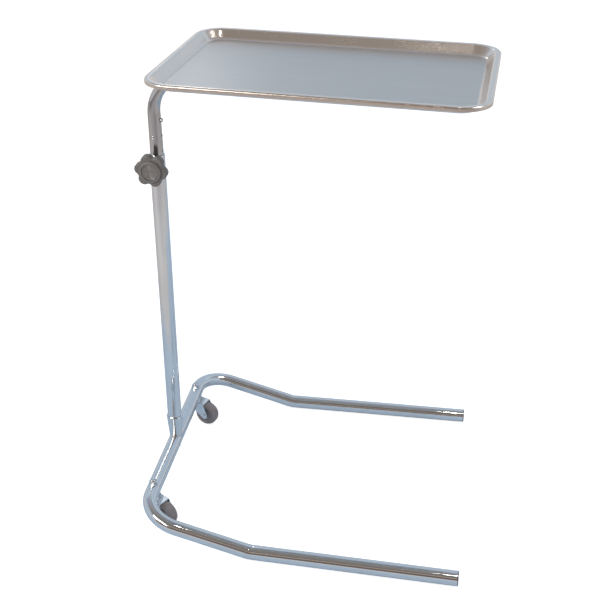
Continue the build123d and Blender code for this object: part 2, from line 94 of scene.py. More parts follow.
# ---------------------------------------------------------------- shader groups


@dataclass
class Graph:
    """A node tree with short calls for adding and joining nodes."""

    tree: bpy.types.NodeTree

    def add(self, kind: str, inputs: Mapping[str | int, object] | None = None, **settings: object) -> Node:
        """Adds a node.

        Args:
            kind: Blender's node type, such as ShaderNodeBump.
            inputs: What each input gets, a socket to link or a value.
            settings: Properties of the node to set.

        Returns:
            The new node.
        """
        node = self.tree.nodes.new(kind)
        for name, value in settings.items():
            setattr(node, name, value)
        for name, value in (inputs or {}).items():
            self.feed(node.inputs[name], value)
        return node

    def feed(self, target: Socket, value: object) -> None:
        """Links a socket to an input, or sets the input's own value.

        Args:
            target: The input.
            value: A socket, a number, a vector or a colour.
        """
        if isinstance(value, Socket):
            self.tree.links.new(value, target)
        elif isinstance(value, tuple) and target.type == "RGBA":
            target.default_value = (*value, 1.0)
        else:
            target.default_value = value

    def maths(self, operation: str, first: object, second: object = None, clamp: bool = False) -> Socket:
        """Adds a Math node on sockets or numbers.

        Args:
            operation: The node's operation.
            first: A socket or a number.
            second: A socket, a number or nothing.
            clamp: Whether the result is kept from 0 to 1.

        Returns:
            The result's socket.
        """
        inputs = {0: first} if second is None else {0: first, 1: second}
        return self.add("ShaderNodeMath", inputs, operation=operation, use_clamp=clamp).outputs[0]

    def spread(self, value: Socket, low: float, high: float, start: float = 0.0, end: float = 1.0) -> Socket:
        """Maps a value from one range to another, clamped.

        Args:
            value: The socket to map.
            low: Result at start.
            high: Result at end.
            start: Value that gives low.
            end: Value that gives high.

        Returns:
            The mapped value's socket.
        """
        inputs = {"Value": value, "From Min": start, "From Max": end, "To Min": low, "To Max": high}
        return self.add("ShaderNodeMapRange", inputs).outputs["Result"]

    def blend(self, mask: Socket, first: object, second: object) -> Socket:
        """Mixes two colours, sockets or values, by a mask and returns the colour's socket."""
        return self.add("ShaderNodeMix", {"Factor": mask, 6: first, 7: second}, data_type="RGBA").outputs[2]

    def noise(self, place: Socket, scale: object, detail: float = 2.0, distortion: float = 0.0) -> Socket:
        """Adds a noise texture.

        Args:
            place: The coordinates that it reads.
            scale: Its scale, a socket or a number.
            detail: Its detail.
            distortion: Its distortion.

        Returns:
            Its value's socket.
        """
        inputs = {"Vector": place, "Scale": scale, "Detail": detail, "Distortion": distortion}
        return self.add("ShaderNodeTexNoise", inputs, noise_dimensions="3D").outputs["Fac"]

    def axes(self, place: Socket) -> bpy.types.NodeOutputs:
        """Splits coordinates into their axes and returns the three outputs."""
        return self.add("ShaderNodeSeparateXYZ", {"Vector": place}).outputs

    def coordinates(self, kind: str = "Object") -> Socket:
        """Adds texture coordinates and returns the socket of the kind asked for."""
        return self.add("ShaderNodeTexCoord").outputs[kind]

    def shades(self, value: Socket, stops: Sequence[tuple[float, Colour]]) -> Socket:
        """Gives a value from 0 to 1 its colour from a row of stops.

        Args:
            value: The value's socket.
            stops: Place and colour of each stop.

        Returns:
            The colour's socket.
        """
        ramp = self.add("ShaderNodeValToRGB", {"Fac": value})
        elements = ramp.color_ramp.elements
        while len(elements) < len(stops):
            elements.new(0.5)
        for element, (place, colour) in zip(elements, stops):
            element.position = place
            element.color = (*colour, 1.0)
        return ramp.outputs["Color"]


class Effects:
    """Shader node groups that several finishes share, each built once."""

    def __init__(self) -> None:
        """Builds every group."""
        self.haze = self._haze()
        self.grain = self._grain()
        self.specks = self._specks()
        self.scuffs = self._scuffs()

    @staticmethod
    def _new(
        name: str, inputs: Mapping[str, float], outputs: Iterable[str]
    ) -> tuple[Graph, Mapping[str, Socket], Node]:
        """Makes an empty group with its sockets.

        Args:
            name: The group's name.
            inputs: Name and default of each value that it takes besides its coordinates.
            outputs: Names of the values that it puts out.

        Returns:
            The group's graph, the outputs of its input node, and its output node.
        """
        tree = bpy.data.node_groups.new(name, "ShaderNodeTree")
        tree.interface.new_socket(name="Vector", in_out="INPUT", socket_type="NodeSocketVector")
        for label, value in inputs.items():
            socket = tree.interface.new_socket(name=label, in_out="INPUT", socket_type="NodeSocketFloat")
            socket.default_value = value
        for label in outputs:
            tree.interface.new_socket(name=label, in_out="OUTPUT", socket_type="NodeSocketFloat")
        graph = Graph(tree)
        return graph, graph.add("NodeGroupInput").outputs, graph.add("NodeGroupOutput")

    @staticmethod
    def _put_out(graph: Graph, result: Node, mask: Socket) -> None:
        """Puts out a mask, and the same mask as a dent."""
        graph.feed(result.inputs["Mask"], mask)
        graph.feed(result.inputs["Height"], graph.maths("MULTIPLY", mask, -1.0))

    def _haze(self) -> bpy.types.NodeTree:
        """Cloudy film of handling and old polish: slow clouds with a finer mottle over them.

        Returns:
            The group.
        """
        graph, given, result = self._new("handling_haze", {"Scale": 20.0, "Contrast": 1.0}, ("Haze", "Height"))
        finer, mottle, level = 9.0, 0.25, 0.38
        clouds = graph.noise(given["Vector"], given["Scale"], detail=5.0, distortion=0.6)
        fine = graph.noise(given["Vector"], graph.maths("MULTIPLY", given["Scale"], finer), detail=3.0)
        centred = graph.maths("SUBTRACT", clouds, 0.5)
        widened = graph.maths("MULTIPLY", centred, given["Contrast"])
        mixed = graph.maths("ADD", graph.maths("MULTIPLY", fine, mottle), graph.maths("ADD", widened, level))
        haze = graph.maths("MAXIMUM", graph.maths("MINIMUM", mixed, 1.0), 0.0)
        graph.feed(result.inputs["Haze"], haze)
        graph.feed(result.inputs["Height"], fine)
        return graph.tree

    def _grain(self) -> bpy.types.NodeTree:
        """Fine parallel lines that run along X, as rolling and brushing leave them.

        Returns:
            The group.
        """
        graph, given, result = self._new("brushed_grain", {"Across": 900.0, "Along": 8.0}, ("Lines", "Bands"))
        scale = graph.add("ShaderNodeCombineXYZ", {"X": given["Along"], "Y": given["Across"], "Z": given["Across"]})
        stretch = {0: given["Vector"], 1: scale.outputs["Vector"]}
        stretched = graph.add("ShaderNodeVectorMath", stretch, operation="MULTIPLY").outputs["Vector"]
        for label, size, detail in (("Lines", 1.0, 4.0), ("Bands", 0.07, 2.0)):
            graph.feed(result.inputs[label], graph.noise(stretched, size, detail))
        return graph.tree

    def _specks(self) -> bpy.types.NodeTree:
        """Small sparse specks, such as dust, pits and tiny dings: a share of the cells gets one.

        Returns:
            The group.
        """
        inputs = {"Scale": 300.0, "Share": 0.2, "Size": 0.2}
        graph, given, result = self._new("specks", inputs, ("Mask", "Height"))
        edge_sharpness = 8.0
        cells = graph.add("ShaderNodeTexVoronoi", {"Vector": given["Vector"], "Scale": given["Scale"]}, feature="F1")
        lot = graph.add("ShaderNodeSeparateColor", {"Color": cells.outputs["Color"]}).outputs[0]
        chosen = graph.maths("LESS_THAN", lot, given["Share"])
        near = graph.maths("SUBTRACT", given["Size"], cells.outputs["Distance"])
        soft = graph.maths("MULTIPLY", near, edge_sharpness, clamp=True)
        self._put_out(graph, result, graph.maths("MULTIPLY", chosen, soft))
        return graph.tree

    def _scuffs(self) -> bpy.types.NodeTree:
        """Thin crossing scratches, broken up by a slow noise.

        Returns:
            The group.
        """
        graph, given, result = self._new("scuffs", {"Scale": 60.0, "Share": 0.5}, ("Mask", "Height"))
        line_width, gap_scale = 0.012, 0.5
        total = None
        for turn, stretch in ((0.5, 14.0), (-0.9, 9.0), (1.9, 18.0)):
            mapping = {
                "Vector": given["Vector"],
                "Rotation": (turn * 0.6, turn * 0.3, turn),
                "Scale": (1.0, stretch, stretch),
            }
            turned = graph.add("ShaderNodeMapping", mapping).outputs["Vector"]
            lines = graph.noise(turned, given["Scale"], distortion=0.2)
            off = graph.maths("ABSOLUTE", graph.maths("SUBTRACT", lines, 0.5))
            thin = graph.spread(off, 1.0, 0.0, 0.0, line_width)
            total = thin if total is None else graph.maths("MAXIMUM", total, thin)
        gaps = graph.noise(given["Vector"], graph.maths("MULTIPLY", given["Scale"], gap_scale))
        kept = graph.maths("LESS_THAN", gaps, given["Share"])
        self._put_out(graph, result, graph.maths("MULTIPLY", total, kept))
        return graph.tree


# ---------------------------------------------------------------- finishes


class Bump(NamedTuple):
    """One layer of relief."""

    height: Socket
    strength: float
    depth: float


@dataclass
class Coat:
    """A material in the making: its graph and shader, the coordinates it reads and the shared groups."""

    graph: Graph
    shader: Node
    place: Socket
    effects: Effects

    def effect(self, tree: bpy.types.NodeTree, place: Socket | None = None, **values: float) -> Mapping[str, Socket]:
        """Places a shared group in the material.

        Args:
            tree: The group.
            place: The coordinates that it reads, where they aren't the coat's own.
            values: Its inputs by name.

        Returns:
            The group node's outputs.
        """
        inputs = {"Vector": place or self.place, **values}
        return self.graph.add("ShaderNodeGroup", inputs, node_tree=tree).outputs

    def put(self, **values: object) -> None:
        """Feeds the shader's inputs; an underscore in a name stands for a space."""
        for name, value in values.items():
            self.graph.feed(self.shader.inputs[name.replace("_", " ")], value)

    def relief(self, *bumps: Bump) -> None:
        """Chains layers of relief into the shader's Normal.

        Args:
            bumps: The layers, the lowest first.
        """
        before = None
        for height, strength, depth in bumps:
            inputs = {"Height": height, "Strength": strength, "Distance": depth}
            if before is not None:
                inputs["Normal"] = before
            before = self.graph.add("ShaderNodeBump", inputs).outputs["Normal"]
        self.put(Normal=before)


def new_material(name: str) -> tuple[bpy.types.Material, Graph, Node]:
    """Makes a material.

    Args:
        name: Its name.

    Returns:
        The material, its graph and its shader.
    """
    made = bpy.data.materials.new(name)
    made.use_nodes = True
    return made, Graph(made.node_tree), made.node_tree.nodes["Principled BSDF"]


@dataclass(frozen=True)
class Finish:
    """A surface finish: its material is made once and shared by the pieces that have it."""

    name: str
    slot: Slot

    def material(self, effects: Effects) -> bpy.types.Material:
        """Makes the material, or finds it if it is already made.

        The imported model's own plain materials have the slots' names, so a finish adds a word to its name.

        Args:
            effects: The shared shader groups.

        Returns:
            The material.
        """
        label = f"{self.name}_finish"
        found = bpy.data.materials.get(label)
        if found is not None:
            return found
        made, graph, shader = new_material(label)
        self.dress(Coat(graph, shader, graph.coordinates(), effects))
        return made

    def dress(self, coat: Coat) -> None:
        """Wires the finish into a coat; each kind of finish has its own way."""
        raise NotImplementedError


@dataclass(frozen=True)
class PlatedSteel(Finish):
    """Bright plate over polished steel, with a thin film, fine scratches and a few pits."""

    clean: Colour = (0.79, 0.81, 0.83)
    filmed: Colour = (0.68, 0.69, 0.70)
    smooth: float = 0.05
    rough: float = 0.13
    film_scale: float = 26.0
    film_share: float = 0.7
    scratch_rough: float = 0.06
    wave: float = 0.00001

    def dress(self, coat: Coat) -> None:
        """Wires film, scratches and pits into colour, roughness and relief.

        Args:
            coat: The material in the making.
        """
        graph, effects = coat.graph, coat.effects
        film = coat.effect(effects.haze, Scale=self.film_scale, Contrast=1.5)
        pits = coat.effect(effects.specks, Scale=420.0, Share=0.05, Size=0.16)
        lines = coat.effect(effects.scuffs, Scale=42.0, Share=0.47)
        worn = graph.maths("MAXIMUM", graph.maths("MULTIPLY", film["Haze"], self.film_share), pits["Mask"])
        base = graph.spread(film["Haze"], self.smooth, self.rough)
        marks = graph.maths("MULTIPLY", lines["Mask"], self.scratch_rough)
        coat.put(
            Base_Color=graph.blend(worn, self.clean, self.filmed),
            Roughness=graph.maths("ADD", base, marks),
            Metallic=1.0,
        )
        coat.relief(
            Bump(film["Height"], strength=0.25, depth=self.wave),
            Bump(pits["Height"], strength=0.3, depth=0.00003),
            Bump(lines["Height"], strength=0.10, depth=0.00001),
        )


@dataclass(frozen=True)
class PressedPan(Finish):
    """Stainless sheet whose floor is brushed satin, and whose wall and rim have a bright polish, in a warmer colour
    that is partly painted reflection of the warm room.
    """

    satin: Colour = (0.63, 0.622, 0.61)
    satin_dark: Colour = (0.56, 0.552, 0.545)
    # Colour of the bright polish with a warm tint; the tint is a painted reflection of the dim warm room.
    polished_painted_warmth: Colour = (0.90, 0.81, 0.73)
    floor_level: float = 0.7752
    floor_depth: float = 0.0012
    band_share: float = 0.6
    film_share: float = 0.4
    satin_rough: tuple[float, float] = (0.30, 0.46)
    polish_rough: tuple[float, float] = (0.17, 0.27)
    scratch_rough: float = 0.08

    def dress(self, coat: Coat) -> None:
        """Separates floor from rim by height and gives each its own grain.

        Args:
            coat: The material in the making.
        """
        graph, effects = coat.graph, coat.effects
        turning = {"Vector": coat.place, "Rotation": (0.0, 0.0, -ARM_SWIVEL)}
        along = graph.add("ShaderNodeMapping", turning).outputs["Vector"]
        height = graph.axes(coat.place)["Z"]
        rim = graph.spread(height, 0.0, 1.0, self.floor_level, self.floor_level + self.floor_depth)
        grain = coat.effect(effects.grain, along, Across=1500.0, Along=14.0)
        film = coat.effect(effects.haze, Scale=9.0, Contrast=1.2)
        dust = coat.effect(effects.specks, Scale=260.0, Share=0.05, Size=0.14)
        lines = coat.effect(effects.scuffs, Scale=30.0, Share=0.42)
        bands = graph.maths("MULTIPLY", grain["Bands"], self.band_share)
        clouds = graph.maths("MULTIPLY", film["Haze"], self.film_share)
        tone = graph.blend(graph.maths("ADD", bands, clouds), self.satin, self.satin_dark)
        satin_rough = graph.spread(grain["Lines"], *self.satin_rough, 0.3, 0.7)
        scratches = graph.maths("MULTIPLY", lines["Mask"], self.scratch_rough)
        polish_rough = graph.maths("ADD", graph.spread(film["Haze"], *self.polish_rough), scratches)
        rough = graph.add("ShaderNodeMix", {"Factor": rim, 2: satin_rough, 3: polish_rough}, data_type="FLOAT")
        # Wall and rim take the warm-tinted colour: real polish with a painted warm reflection over it.
        coat.put(Base_Color=graph.blend(rim, tone, self.polished_painted_warmth), Roughness=rough.outputs[0], Metallic=1.0)
        coat.relief(
            Bump(grain["Lines"], strength=0.30, depth=0.00006),
            Bump(lines["Height"], strength=0.2, depth=0.00005),
            Bump(dust["Height"], strength=0.3, depth=0.00008),
        )


@dataclass(frozen=True)
class MouldedPlastic(Finish):
    """Satin moulded plastic with a fine grain, and dust that dulls it."""

    colour: Colour = (0.165, 0.149, 0.138)
    dusty: Colour = (0.265, 0.243, 0.228)
    rough: float = 0.34
    smoother: float = 0.08
    rougher: float = 0.12
    dust_share: float = 0.45
    grain: float = 900.0
    relief_depth: float = 0.00008

    def dress(self, coat: Coat) -> None:
        """Wires mould grain, dust and hand marks.

        Args:
            coat: The material in the making.
        """
        graph, effects = coat.graph, coat.effects
        film = coat.effect(effects.haze, Scale=60.0, Contrast=1.6)
        dust = coat.effect(effects.specks, Scale=520.0, Share=0.08, Size=0.18)
        cover = graph.maths("MAXIMUM", graph.maths("MULTIPLY", film["Haze"], self.dust_share), dust["Mask"])
        coat.put(
            Base_Color=graph.blend(cover, self.colour, self.dusty),
            Roughness=graph.spread(film["Haze"], self.rough - self.smoother, self.rough + self.rougher),
            Specular_IOR_Level=0.5,
        )
        coat.relief(Bump(graph.noise(coat.place, self.grain), strength=0.25, depth=self.relief_depth))


@dataclass(frozen=True)
class WheelTread(Finish):
    """Hard rubber, dark brown-grey, scuffed and dusty where it rolls."""

    colour: Colour = (0.18, 0.158, 0.16)
    dusty: Colour = (0.36, 0.325, 0.33)
    film_share: float = 0.5
    scuff_share: float = 0.6
    dust_share: float = 0.5

    def dress(self, coat: Coat) -> None:
        """Wires scuffs, dust and a soft sheen.

        Args:
            coat: The material in the making.
        """
        graph, effects = coat.graph, coat.effects
        film = coat.effect(effects.haze, Scale=75.0, Contrast=2.0)
        dust = coat.effect(effects.specks, Scale=700.0, Share=0.2, Size=0.25)
        lines = coat.effect(effects.scuffs, Scale=120.0, Share=0.52)
        filmed = graph.maths("MULTIPLY", film["Haze"], self.film_share)
        scuffed = graph.maths("MULTIPLY", lines["Mask"], self.scuff_share)
        dusted = graph.maths("MULTIPLY", dust["Mask"], self.dust_share)
        cover = graph.maths("MAXIMUM", graph.maths("MAXIMUM", filmed, scuffed), dusted)
        coat.put(
            Base_Color=graph.blend(cover, self.colour, self.dusty),
            Roughness=graph.spread(film["Haze"], 0.42, 0.62),
            Sheen_Weight=0.25,
            Sheen_Roughness=0.4,
        )
        coat.relief(
            Bump(film["Height"], strength=0.3, depth=0.0001), Bump(lines["Height"], strength=0.4, depth=0.0001)
        )


CHROME = PlatedSteel("chrome_plate", Slot.CHROME)
SLIDE_CHROME = PlatedSteel(
    "slide_chrome", Slot.CHROME, clean=(0.58, 0.57, 0.57), filmed=(0.49, 0.48, 0.47), smooth=0.06, rough=0.16
)
WELD = PlatedSteel(
    "plated_weld", Slot.CHROME, clean=(0.64, 0.66, 0.68), filmed=(0.54, 0.55, 0.56), smooth=0.10, rough=0.22,
    film_scale=200.0, wave=0.0003,
)
NUT_PLATE = PlatedSteel(
    "nut_plate", Slot.CHROME, clean=(0.62, 0.65, 0.68), filmed=(0.50, 0.52, 0.55), smooth=0.20, rough=0.34,
    film_scale=160.0, wave=0.0002,
)
ZINC = PlatedSteel(
    "zinc_plate", Slot.ZINC, clean=(0.76, 0.79, 0.82), filmed=(0.66, 0.69, 0.72), smooth=0.14, rough=0.26,
    film_scale=90.0, wave=0.0001,
)
PAN = PressedPan("pan_steel", Slot.PAN)
KNOB_PLASTIC = MouldedPlastic("knob_plastic", Slot.KNOB)
CAP_PLASTIC = MouldedPlastic(
    "cap_plastic", Slot.KNOB, colour=(0.195, 0.177, 0.165), dusty=(0.29, 0.265, 0.25), rough=0.26, grain=400.0,
    relief_depth=0.00002,
)
PLUG_PLASTIC = MouldedPlastic(
    "plug_plastic", Slot.PLUG, colour=(0.03, 0.03, 0.033), dusty=(0.10, 0.10, 0.10), rough=0.45
)
NYLON = MouldedPlastic("nylon", Slot.NYLON, colour=(0.78, 0.78, 0.74), dusty=(0.68, 0.67, 0.63), rough=0.40)
TREAD = WheelTread("wheel_rubber", Slot.WHEEL)


# ---------------------------------------------------------------- shaping


def as_mesh(name: str, bm: Shape) -> bpy.types.Mesh:
    """Turns a shape into a mesh and frees the shape.

    Args:
        name: The mesh's name.
        bm: The shape.

    Returns:
        The mesh.
    """
    mesh = bpy.data.meshes.new(name)
    bm.to_mesh(mesh)
    bm.free()
    return mesh


def link_object(name: str, data: bpy.types.ID) -> bpy.types.Object:
    """Makes an object at the origin and links it to the scene.

    Args:
        name: The object's name.
        data: Its mesh, camera or lamp.

    Returns:
        The object.
    """
    made = bpy.data.objects.new(name, data)
    bpy.context.scene.collection.objects.link(made)
    return made


def verts_and_edges(geometry: Iterable[object]) -> Section:
    """Sorts what an operator gives back.

    Args:
        geometry: The operator's vertices, edges and faces.

    Returns:
        The vertices and the edges.
    """
    items = list(geometry)
    verts = [item for item in items if isinstance(item, bmesh.types.BMVert)]
    return verts, [item for item in items if isinstance(item, bmesh.types.BMEdge)]


def pull(bm: Shape, edges: list[bmesh.types.BMEdge], step: Vector) -> Section:
    """Extrudes a section in a straight line.

    Args:
        bm: The shape that it belongs to.
        edges: The section's edges.
        step: How far and which way.

    Returns:
        The section at the end of the step.
    """
    verts, edges = verts_and_edges(bmesh.ops.extrude_edge_only(bm, edges=edges)["geom"])
    bmesh.ops.translate(bm, verts=verts, vec=step)
    return verts, edges


def swing(bm: Shape, section: Section, centre: Vector, axis: Vector, angle: float, steps: int) -> Section:
    """Sweeps a section round a bend.

    Args:
        bm: The shape that it belongs to.
        section: Its vertices and edges.
        centre: The bend's centre.
        axis: The bend's axis.
        angle: The bend's angle.
        steps: How many steps the bend has.

    Returns:
        The section at the bend's end.
    """
    verts, edges = section
    made = bmesh.ops.spin(
        bm, geom=verts + edges, cent=centre, axis=axis, angle=angle, steps=steps, use_merge=False,
        use_duplicate=False,
    )
    return verts_and_edges(made["geom_last"])


def turn_round(bm: Shape, steps: int) -> None:
    """Spins a whole shape once about Z and joins its ends.

    Args:
        bm: The shape, drawn as a section.
        steps: How many steps the turn has.
    """
    bmesh.ops.spin(
        bm, geom=bm.verts[:] + bm.edges[:], cent=(0, 0, 0), axis=UP, angle=FULL_TURN, steps=steps, use_merge=True,
        use_duplicate=False,
    )


def join_row(bm: Shape, verts: Sequence[bmesh.types.BMVert]) -> None:
    """Draws an edge from each vertex of a row to the next."""
    for first, second in zip(verts, verts[1:]):
        bm.edges.new((first, second))


def round_off(bm: Shape, verts: list[bmesh.types.BMVert], size: float, segments: int) -> None:
    """Rounds corners of a section.

    Args:
        bm: The shape that it belongs to.
        verts: The corners.
        size: How far the round reaches along each side.
        segments: How many segments it has.
    """
    bmesh.ops.bevel(
        bm, geom=verts, offset=size, offset_type="OFFSET", segments=segments, profile=0.5, affect="VERTICES",
        material=-1,
    )


def facing(place: Vector, way: Vector) -> Matrix:
    """Place and turn of a shape whose Z is to point a given way."""
    return Matrix.Translation(place) @ way.to_track_quat("Z", "Y").to_matrix().to_4x4()


def around(count: int, radius: float) -> list[tuple[float, float]]:
    """Points of a flat circle about the origin."""
    angles = [FULL_TURN * index / count for index in range(count)]
    return [(radius * math.cos(angle), radius * math.sin(angle)) for angle in angles]


def ring_path(centre: Vector, radius: float, normal: Vector, count: int) -> list[Vector]:
    """Points of a circle in space.

    Args:
        centre: Its centre.
        radius: Its radius.
        normal: The direction of its axis.
        count: How many points.

    Returns:
        The points in order.
    """
    turn = normal.to_track_quat("Z", "Y").to_matrix()
    return [centre + turn @ Vector((x, y, 0.0)) for x, y in around(count, radius)]


def read_box(node: str) -> tuple[Vector, Vector, Vector]:
    """Lowest corner, highest corner and middle of a CAD node."""
    low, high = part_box(node)
    return low, high, (low + high) / 2


def about_post(angle: float) -> Matrix:
    """Turn about the post's axis."""
    pivot = Vector((POST_X, 0.0, 0.0))
    return Matrix.Translation(pivot) @ Matrix.Rotation(angle, 4, "Z") @ Matrix.Translation(-pivot)


# ---------------------------------------------------------------- making pieces


@dataclass
class Workshop:
    """Turns shapes into dressed pieces that ride on the model's bodies."""

    effects: Effects = field(default_factory=Effects)
    crease: float = math.radians(32)

    def keep(
        self, name: str, shape: Shape | bpy.types.Mesh, finish: Finish, body: Body, replaces: Iterable[str] = ()
    ) -> None:
        """Makes a finished piece.

        Args:
            name: The piece's name.
            shape: A bmesh, which is cleaned and freed, or a mesh; in metres, at its place.
            finish: Its surface finish.
            body: The body that it rides on.
            replaces: CAD nodes that it stands for.
        """
        mesh = shape
        if isinstance(shape, Shape):
            bmesh.ops.remove_doubles(shape, verts=shape.verts, dist=SAME_PLACE)
            bmesh.ops.recalc_face_normals(shape, faces=shape.faces)
            mesh = as_mesh(name, shape)
        mesh.shade_smooth()
        mesh.set_sharp_from_angle(angle=self.crease)
        mesh.materials.clear()
        mesh.materials.append(finish.material(self.effects))
        piece = link_object(name, mesh)
        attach(piece, body.value)
        nodes = tuple(replaces)
        if nodes:
            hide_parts(*nodes)
        log.info("%s: %d faces on %s, for %s", name, len(mesh.polygons), body.value, ", ".join(nodes) or "itself")

    def dress(self, finish: Finish, *nodes: str) -> None:
        """Gives CAD nodes that stay a finish.

        Args:
            finish: The finish.
            nodes: The nodes' names.
        """
        for name in nodes:
            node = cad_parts[name]
            node.data.materials.clear()
            node.data.materials.append(finish.material(self.effects))
            log.info("%s: CAD node dressed with %s", name, finish.name)


@dataclass
class BentTube:
    """A round tube drawn along straight runs with round bends between them."""

    route: Sequence[Vector]
    bends: Sequence[float]
    radius: float
    sides: int = 56
    bend_steps: int = 28
    run_steps: int = 6
    fade: float = 0.25
    beyond: float = 1.2

    def corner(self, index: int) -> tuple[Vector, Vector, Vector, Vector, float]:
        """Works out one bend.

        Args:
            index: The route point at the bend's corner.

        Returns:
            Its start, end, centre, axis and angle.
        """
        here = self.route[index]
        before = (here - self.route[index - 1]).normalized()
        after = (self.route[index + 1] - here).normalized()
        angle = before.angle(after)
        back = self.bends[index - 1] * math.tan(angle / 2)
        axis = before.cross(after).normalized()
        start = here - before * back
        centre = start + axis.cross(before).normalized() * self.bends[index - 1]
        return start, here + after * back, centre, axis, angle

    def shell(self) -> Shape:
        """Sweeps the outer skin, open at both ends.

        Returns:
            The skin.
        """
        bm = bmesh.new()
        here = self.route[0]
        heading = (self.route[1] - here).normalized()
        upright = abs(heading.z) >= 0.9
        side = (Vector((1, 0, 0)) if upright else heading.cross(UP)).normalized()
        place = Matrix.Translation(here) @ Matrix((side, heading.cross(side), heading)).transposed().to_4x4()
        bmesh.ops.create_circle(bm, segments=self.sides, radius=self.radius, matrix=place)
        edges = bm.edges[:]
        for index in range(1, len(self.route)):
            last = index == len(self.route) - 1
            stop = self.route[index] if last else self.corner(index)[0]
            for _ in range(self.run_steps):
                verts, edges = pull(bm, edges, (stop - here) / self.run_steps)
            if not last:
                _, here, centre, axis, angle = self.corner(index)
                _, edges = swing(bm, (verts, edges), centre, axis, angle, self.bend_steps)
        bmesh.ops.remove_doubles(bm, verts=bm.verts, dist=SAME_PLACE)
        bmesh.ops.recalc_face_normals(bm, faces=bm.faces)
        return bm

    def flatten(self, bm: Shape, index: int, share: float) -> None:
        """Flattens the inner side of a bend, as bending a thin tube does.

        Args:
            bm: The tube's shell.
            index: The route point at the bend's corner.
            share: How much of the radius the inner side loses at mid-bend.
        """
        start, _, centre, axis, angle = self.corner(index)
        bend = self.bends[index - 1]
        first = (start - centre).normalized()
        for vert in bm.verts:
            off = vert.co - centre
            flat = off - axis * off.dot(axis)
            if flat.length < 1e-6 or flat.length > bend + self.beyond * self.radius:
                continue
            turn = math.atan2(first.cross(flat).dot(axis), first.dot(flat)) / angle
            depth = (bend - flat.length) / self.radius
            if depth > 0 and -self.fade < turn < 1 + self.fade:
                wave = 0.5 - 0.5 * math.cos(FULL_TURN * (turn + self.fade) / (1 + 2 * self.fade))
                vert.co += flat.normalized() * self.radius * share * wave * depth**2

    def build(self, shares: Mapping[int, float]) -> Shape:
        """Sweeps the tube, flattens its bends and gives it its wall.

        Args:
            shares: How much each bend is flattened, by route point.

        Returns:
            The tube.
        """
        bm = self.shell()
        for index, share in shares.items():
            self.flatten(bm, index, share)
        bmesh.ops.solidify(bm, geom=bm.faces[:], thickness=TUBE_WALL)
        return bm


@dataclass
class Bead:
    """A thin bead along a closed path: a rippled weld or a plain lip."""

    name: str
    path: Sequence[Vector]
    size: float
    ripple: float = 0.16

    def lay(self, shop: Workshop, body: Body) -> None:
        """Draws the bead as a closed curve with a round section and keeps it as a piece.

        Args:
            shop: The workshop that keeps it.
            body: The body that it rides on.
        """
        curve = bpy.data.curves.new(self.name, "CURVE")
        curve.dimensions = "3D"
        curve.bevel_depth = self.size
        curve.bevel_resolution = 4
        curve.resolution_u = 3
        spline = curve.splines.new("NURBS")
        spline.points.add(len(self.path) - 1)
        for index, (point, place) in enumerate(zip(spline.points, self.path)):
            point.co = (*place, 1.0)
            point.radius = 1.0 + self.ripple * (-1) ** index
        spline.use_cyclic_u = True
        spline.order_u = 3
        holder = bpy.data.objects.new(f"{self.name}_path", curve)
        mesh = bpy.data.meshes.new_from_object(holder)
        mesh.name = self.name
        bpy.data.objects.remove(holder)
        shop.keep(self.name, mesh, WELD, body)


# ---------------------------------------------------------------- sub-assemblies


@dataclass
class SubAssembly:
    """A group of pieces that are made and dressed in one workshop."""

    shop: Workshop

    def build(self) -> None:
        """Makes and dresses the pieces; each sub-assembly has its own."""
        raise NotImplementedError


@dataclass
class FloorBase(SubAssembly):
    """The tube on the floor: a raised crossbar with two legs, its plugs and the post's socket."""

    bar_height: float = 0.063
    knee_reach: float = 0.183
    leg_reach: float = 0.530
    knee_half: float = 0.223
    toe_half: float = 0.229
    bend: float = 0.060
    knee_flat: float = 0.04
    corner_flat: float = 0.10
    socket_foot: float = 0.0105
    bead: float = 0.0010

    def route(self) -> list[Vector]:
        """Draws the tube's centre line.

        Returns:
            Its points from the near toe to the far one.
        """
        half = (
            (self.leg_reach, self.toe_half, TUBE_RADIUS),
            (self.knee_reach, self.knee_half, TUBE_RADIUS),
            (0.0, self.knee_half, self.bar_height),
        )
        near = [Vector((POST_X + x, -y, z)) for x, y, z in half]
        far = [Vector((POST_X + x, y, z)) for x, y, z in reversed(half)]
        return near + far

    def tube(self) -> None:
        """Bends the base tube."""
        flats = {1: self.knee_flat, 2: self.corner_flat, 3: self.corner_flat, 4: self.knee_flat}
        shape = BentTube(self.route(), (self.bend,) * 4, TUBE_RADIUS).build(flats)
        self.shop.keep("base_tube_skin", shape, CHROME, Body.BASE, ("base_tube",))

    def socket_weld(self) -> None:
        """Lays the bead where the socket meets the crossbar."""
        path = [
            Vector((POST_X + x, y, self.bar_height + math.sqrt(max(TUBE_RADIUS**2 - x * x, 0.0))))
            for x, y in around(72, self.socket_foot)
        ]
        Bead("socket_weld", path, self.bead).lay(self.shop, Body.BASE)

    def build(self) -> None:
        """Makes and dresses the base."""
        self.tube()
        self.socket_weld()
        self.shop.dress(CHROME, "post_socket", "near_stem_saddle", "far_stem_saddle", "anchor_saddle")
        self.shop.dress(PLUG_PLASTIC, "near_leg_plug", "far_leg_plug")
        self.shop.dress(ZINC, "anchor_bolt", "post_anchor")


@dataclass
class Post(SubAssembly):
    """The outer tube in its socket, and the welded boss of the clamp."""

    boss_radius: float = 0.009
    knob_height: float = 0.610
    bead: float = 0.0008

    def build(self) -> None:
        """Dresses the post and lays the bead round the clamp's boss."""
        self.shop.dress(CHROME, "outer_post", "clamp_boss")
        self.shop.dress(NYLON, "glide_plug", "clamp_shoe")
        path = [
            Vector((POST_X + x, -math.sqrt(TUBE_RADIUS**2 - x * x), self.knob_height + z))
            for x, z in around(48, self.boss_radius)
        ]
        Bead("boss_weld", path, self.bead).lay(self.shop, Body.BASE)


class TubeHole(NamedTuple):
    """A hole in the inner tube: its middle on the tube's axis, and the way it faces."""

    middle: Vector
    way: Vector


